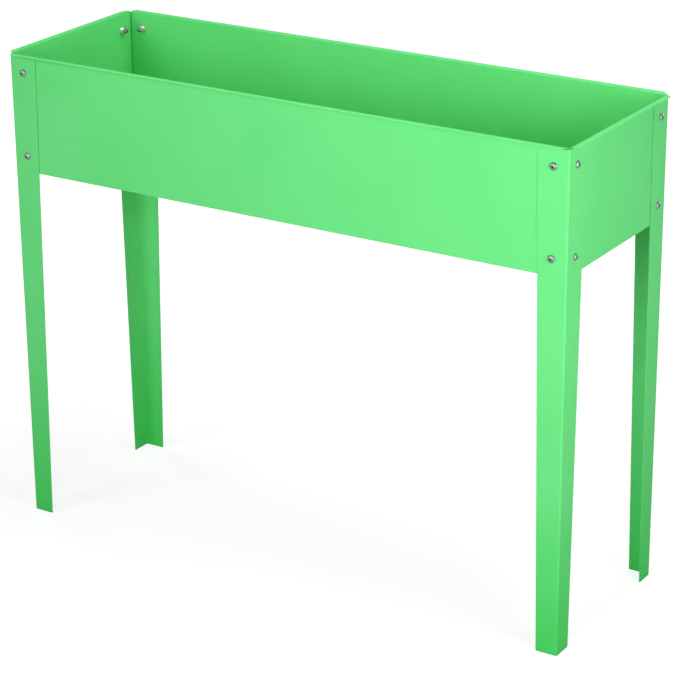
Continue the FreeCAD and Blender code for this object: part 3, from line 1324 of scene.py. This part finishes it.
@dataclass(frozen=True)
class GardenBed:
    """The whole bed: its sheets and the fasteners that hold them."""

    plan: BedPlan
    # Size of each wall's ripples, different so that no two walls waver alike
    ripples: tuple[float, float, float, float] = (260 * MM, 190 * MM, 310 * MM, 150 * MM)
    turn_seed: int = 7

    def build(self) -> None:
        """Models every piece, dresses it and sets it in the frame."""
        self._build_sheets()
        self._build_fasteners()

    def _build_sheets(self) -> None:
        """Makes the panels, the legs and the tray."""
        coat = PowderCoat().build()
        panels = [SidePanel(self.plan, side, ripple) for side, ripple in zip(Side, self.ripples)]
        legs = [AngleLeg(self.plan, corner) for corner in Corner]
        for sheet in (*panels, *legs, FloorTray(self.plan)):
            self._settle(sheet.build(), coat, sheet.name)

    def _build_fasteners(self) -> None:
        """Makes a bolt, a washer and a nut and copies them to all the bolt sites, each turned by chance."""
        draw = random.Random(self.turn_seed)
        washer = FlatWasher()
        for fastener in (PanHeadBolt(), washer, HexNut(washer)):
            model = fastener.build()
            plate = fastener.finish.build()
            for corner in Corner:
                leg = corner.name.lower()
                for site in self.plan.bolt_sites(corner):
                    copy = copy_of(model, f"{leg}_{fastener.kind}_{site.name}")
                    seat = site.place @ Matrix.Translation((0.0, 0.0, -fastener.depth(site)))
                    move_mesh(copy, seat @ Matrix.Rotation(draw.uniform(0.0, 2 * math.pi), 4, "Z"))
                    self._settle(copy, plate, f"{leg}_{fastener.kind}s")
            bpy.data.objects.remove(model)

    def _settle(self, piece: bpy.types.Object, finish: bpy.types.Material, node: str) -> None:
        """Gives a piece its finish and its place in the frame.

        Args:
            piece: The finished piece.
            finish: Its material.
            node: The CAD node that it stands for.
        """
        piece.data.materials.clear()
        piece.data.materials.append(finish)
        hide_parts(node)
        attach(piece, BODY)
        log.info("%s: %d faces", piece.name, len(piece.data.polygons))


@dataclass(frozen=True)
class StudioLamp:
    """A soft square lamp."""

    name: str
    place: tuple[float, float, float]
    aim: tuple[float, float, float]
    size: float
    watts: float

    def build(self) -> None:
        """Adds the lamp to the scene."""
        data = bpy.data.lights.new(self.name, "AREA")
        data.size = self.size
        data.energy = self.watts
        lamp = bpy.data.objects.new(self.name, data)
        lamp.location = self.place
        lamp.rotation_mode = "QUATERNION"
        lamp.rotation_quaternion = (Vector(self.aim) - Vector(self.place)).to_track_quat("-Z", "Y")
        bpy.context.scene.collection.objects.link(lamp)


@dataclass(frozen=True)
class PhotoCamera:
    """The camera at the photograph's viewing angle."""

    azimuth: float = math.radians(32.43)
    elevation: float = math.radians(21.61)
    roll: float = math.radians(-0.49)
    distance: float = 4027 * MM
    aim_height: float = 400 * MM
    slide_right: float = 13.7 * MM
    slide_up: float = -40.3 * MM
    focal_widths: float = 3.703
    sensor: float = 36.0

    def build(self) -> None:
        """Adds the camera and makes it the scene's."""
        data = bpy.data.cameras.new("photo_camera")
        data.sensor_width = self.sensor
        data.lens = self.focal_widths * self.sensor
        camera = bpy.data.objects.new("photo_camera", data)
        level = math.cos(self.elevation)
        back = Vector(
            (math.sin(self.azimuth) * level, -math.cos(self.azimuth) * level, math.sin(self.elevation))
        )
        right = Vector((math.cos(self.azimuth), math.sin(self.azimuth), 0.0))
        up = back.cross(right)
        place = Vector((0.0, 0.0, self.aim_height)) + back * self.distance
        place += right * self.slide_right + up * self.slide_up
        tilted_right = right * math.cos(self.roll) + up * math.sin(self.roll)
        tilted_up = up * math.cos(self.roll) - right * math.sin(self.roll)
        turn = Matrix((tilted_right, tilted_up, back)).transposed().to_4x4()
        camera.matrix_world = Matrix.Translation(place) @ turn
        bpy.context.scene.collection.objects.link(camera)
        bpy.context.scene.camera = camera


@dataclass(frozen=True)
class Studio:
    """A white sweep under soft lamps."""

    floor_size: float = 40.0
    sky: float = 0.02
    # Over white, so that the floor stays white where part of what shows is lit paper
    glow: float = 1.2
    floor_colour: str = "E4E4E4"
    # What the floor throws back at the bed is that of a greyer paper, which keeps the legs' feet in shade
    bounce_colour: str = "A8A8A8"
    shadow_share: float = 0.35
    # Distances from the bed's middle over which the shadow fades into the white of the backdrop
    shadow_fade: tuple[float, float] = (0.7, 1.4)
    lamps: tuple[StudioLamp, ...] = (
        StudioLamp("top_lamp", (0.3, 0.2, 2.6), (0.1, 0.0, 0.7), 1.2, 30.0),
        StudioLamp("front_lamp", (0.5, -1.6, 1.0), (0.3, 0.0, 0.6), 0.8, 15.0),
        StudioLamp("side_lamp", (1.5, -0.5, 0.88), (0.5, -0.1, 0.55), 0.8, 13.0),
        StudioLamp("fill_lamp", (-1.18, -2.04, 1.7), (0.0, 0.0, 0.6), 1.2, 23.5),
        StudioLamp("back_lamp", (0.2, 2.4, 0.65), (0.0, 0.0, 0.5), 1.0, 22.0),
        StudioLamp("left_lamp", (-2.2, 0.5, 0.55), (-0.5, 0.0, 0.5), 0.8, 14.0),
    )

    def build(self) -> None:
        """Adds the floor, the lamps and the sky."""
        self._add_floor()
        for lamp in self.lamps:
            lamp.build()
        self._light_sky()

    def _seen(self, tree: bpy.types.NodeTree) -> bpy.types.NodeSocket:
        """Tells the rays that show a surface, straight or mirrored, from those that light the scene.

        Args:
            tree: The node tree of the floor or the sky.

        Returns:
            A socket that is 1 for a ray that shows the surface.
        """
        rays = add_node(tree, "ShaderNodeLightPath", {})
        mirrored = add_node(
            tree,
            "ShaderNodeMath",
            {0: rays.outputs["Is Glossy Ray"], 1: rays.outputs["Is Transmission Ray"]},
            operation="MAXIMUM",
        )
        seen = add_node(
            tree,
            "ShaderNodeMath",
            {0: rays.outputs["Is Camera Ray"], 1: mirrored.outputs["Value"]},
            operation="MAXIMUM",
        )
        return seen.outputs["Value"]

    def _add_floor(self) -> None:
        """Adds the white floor, which keeps the object's shadow."""
        bpy.ops.object.select_all(action="DESELECT")
        bpy.ops.mesh.primitive_plane_add(size=self.floor_size)
        floor = new_piece("studio_floor")
        material, tree = new_material("white_studio_paper")
        paper = add_node(tree, "ShaderNodeBsdfDiffuse", {"Color": linear(self.floor_colour)})
        bounce = add_node(tree, "ShaderNodeBsdfDiffuse", {"Color": linear(self.bounce_colour)})
        glow = add_node(tree, "ShaderNodeEmission", {"Strength": self.glow})
        place = add_node(tree, "ShaderNodeTexCoord", {}).outputs["Object"]
        distance = add_node(tree, "ShaderNodeVectorMath", {0: place}, operation="LENGTH")
        share = add_node(
            tree,
            "ShaderNodeMapRange",
            {
                "Value": distance.outputs["Value"],
                "From Min": self.shadow_fade[0],
                "From Max": self.shadow_fade[1],
                "To Min": self.shadow_share,
                "To Max": 0.0,
            },
            interpolation_type="SMOOTHSTEP",
        )
        sweep = add_node(
            tree,
            "ShaderNodeMixShader",
            {0: share.outputs["Result"], 1: glow.outputs["Emission"], 2: paper.outputs["BSDF"]},
        )
        surface = add_node(
            tree,
            "ShaderNodeMixShader",
            {0: self._seen(tree), 1: bounce.outputs["BSDF"], 2: sweep.outputs["Shader"]},
        )
        add_node(tree, "ShaderNodeOutputMaterial", {"Surface": surface.outputs["Shader"]})
        floor.data.materials.append(material)

    def _light_sky(self) -> None:
        """Lights the scene from all round, with a white background where it is seen."""
        world = bpy.data.worlds.new("studio_sky")
        world.use_nodes = True
        tree = world.node_tree
        tree.nodes.clear()
        white = linear("FFFFFF")
        light = add_node(tree, "ShaderNodeBackground", {"Color": white, "Strength": self.sky})
        backdrop = add_node(tree, "ShaderNodeBackground", {"Color": white, "Strength": 1.0})
        both = add_node(
            tree,
            "ShaderNodeMixShader",
            {0: self._seen(tree), 1: light.outputs["Background"], 2: backdrop.outputs["Background"]},
        )
        add_node(tree, "ShaderNodeOutputWorld", {"Surface": both.outputs["Shader"]})
        bpy.context.scene.world = world


def main() -> None:
    """Builds the bed and the studio, in order."""
    logging.basicConfig(level=logging.INFO, format="%(name)s: %(message)s")
    bpy.context.scene.view_settings.view_transform = "Standard"
    GardenBed(BedPlan.read()).build()
    Studio().build()
    PhotoCamera().build()


if __name__ == "__main__":
    main()
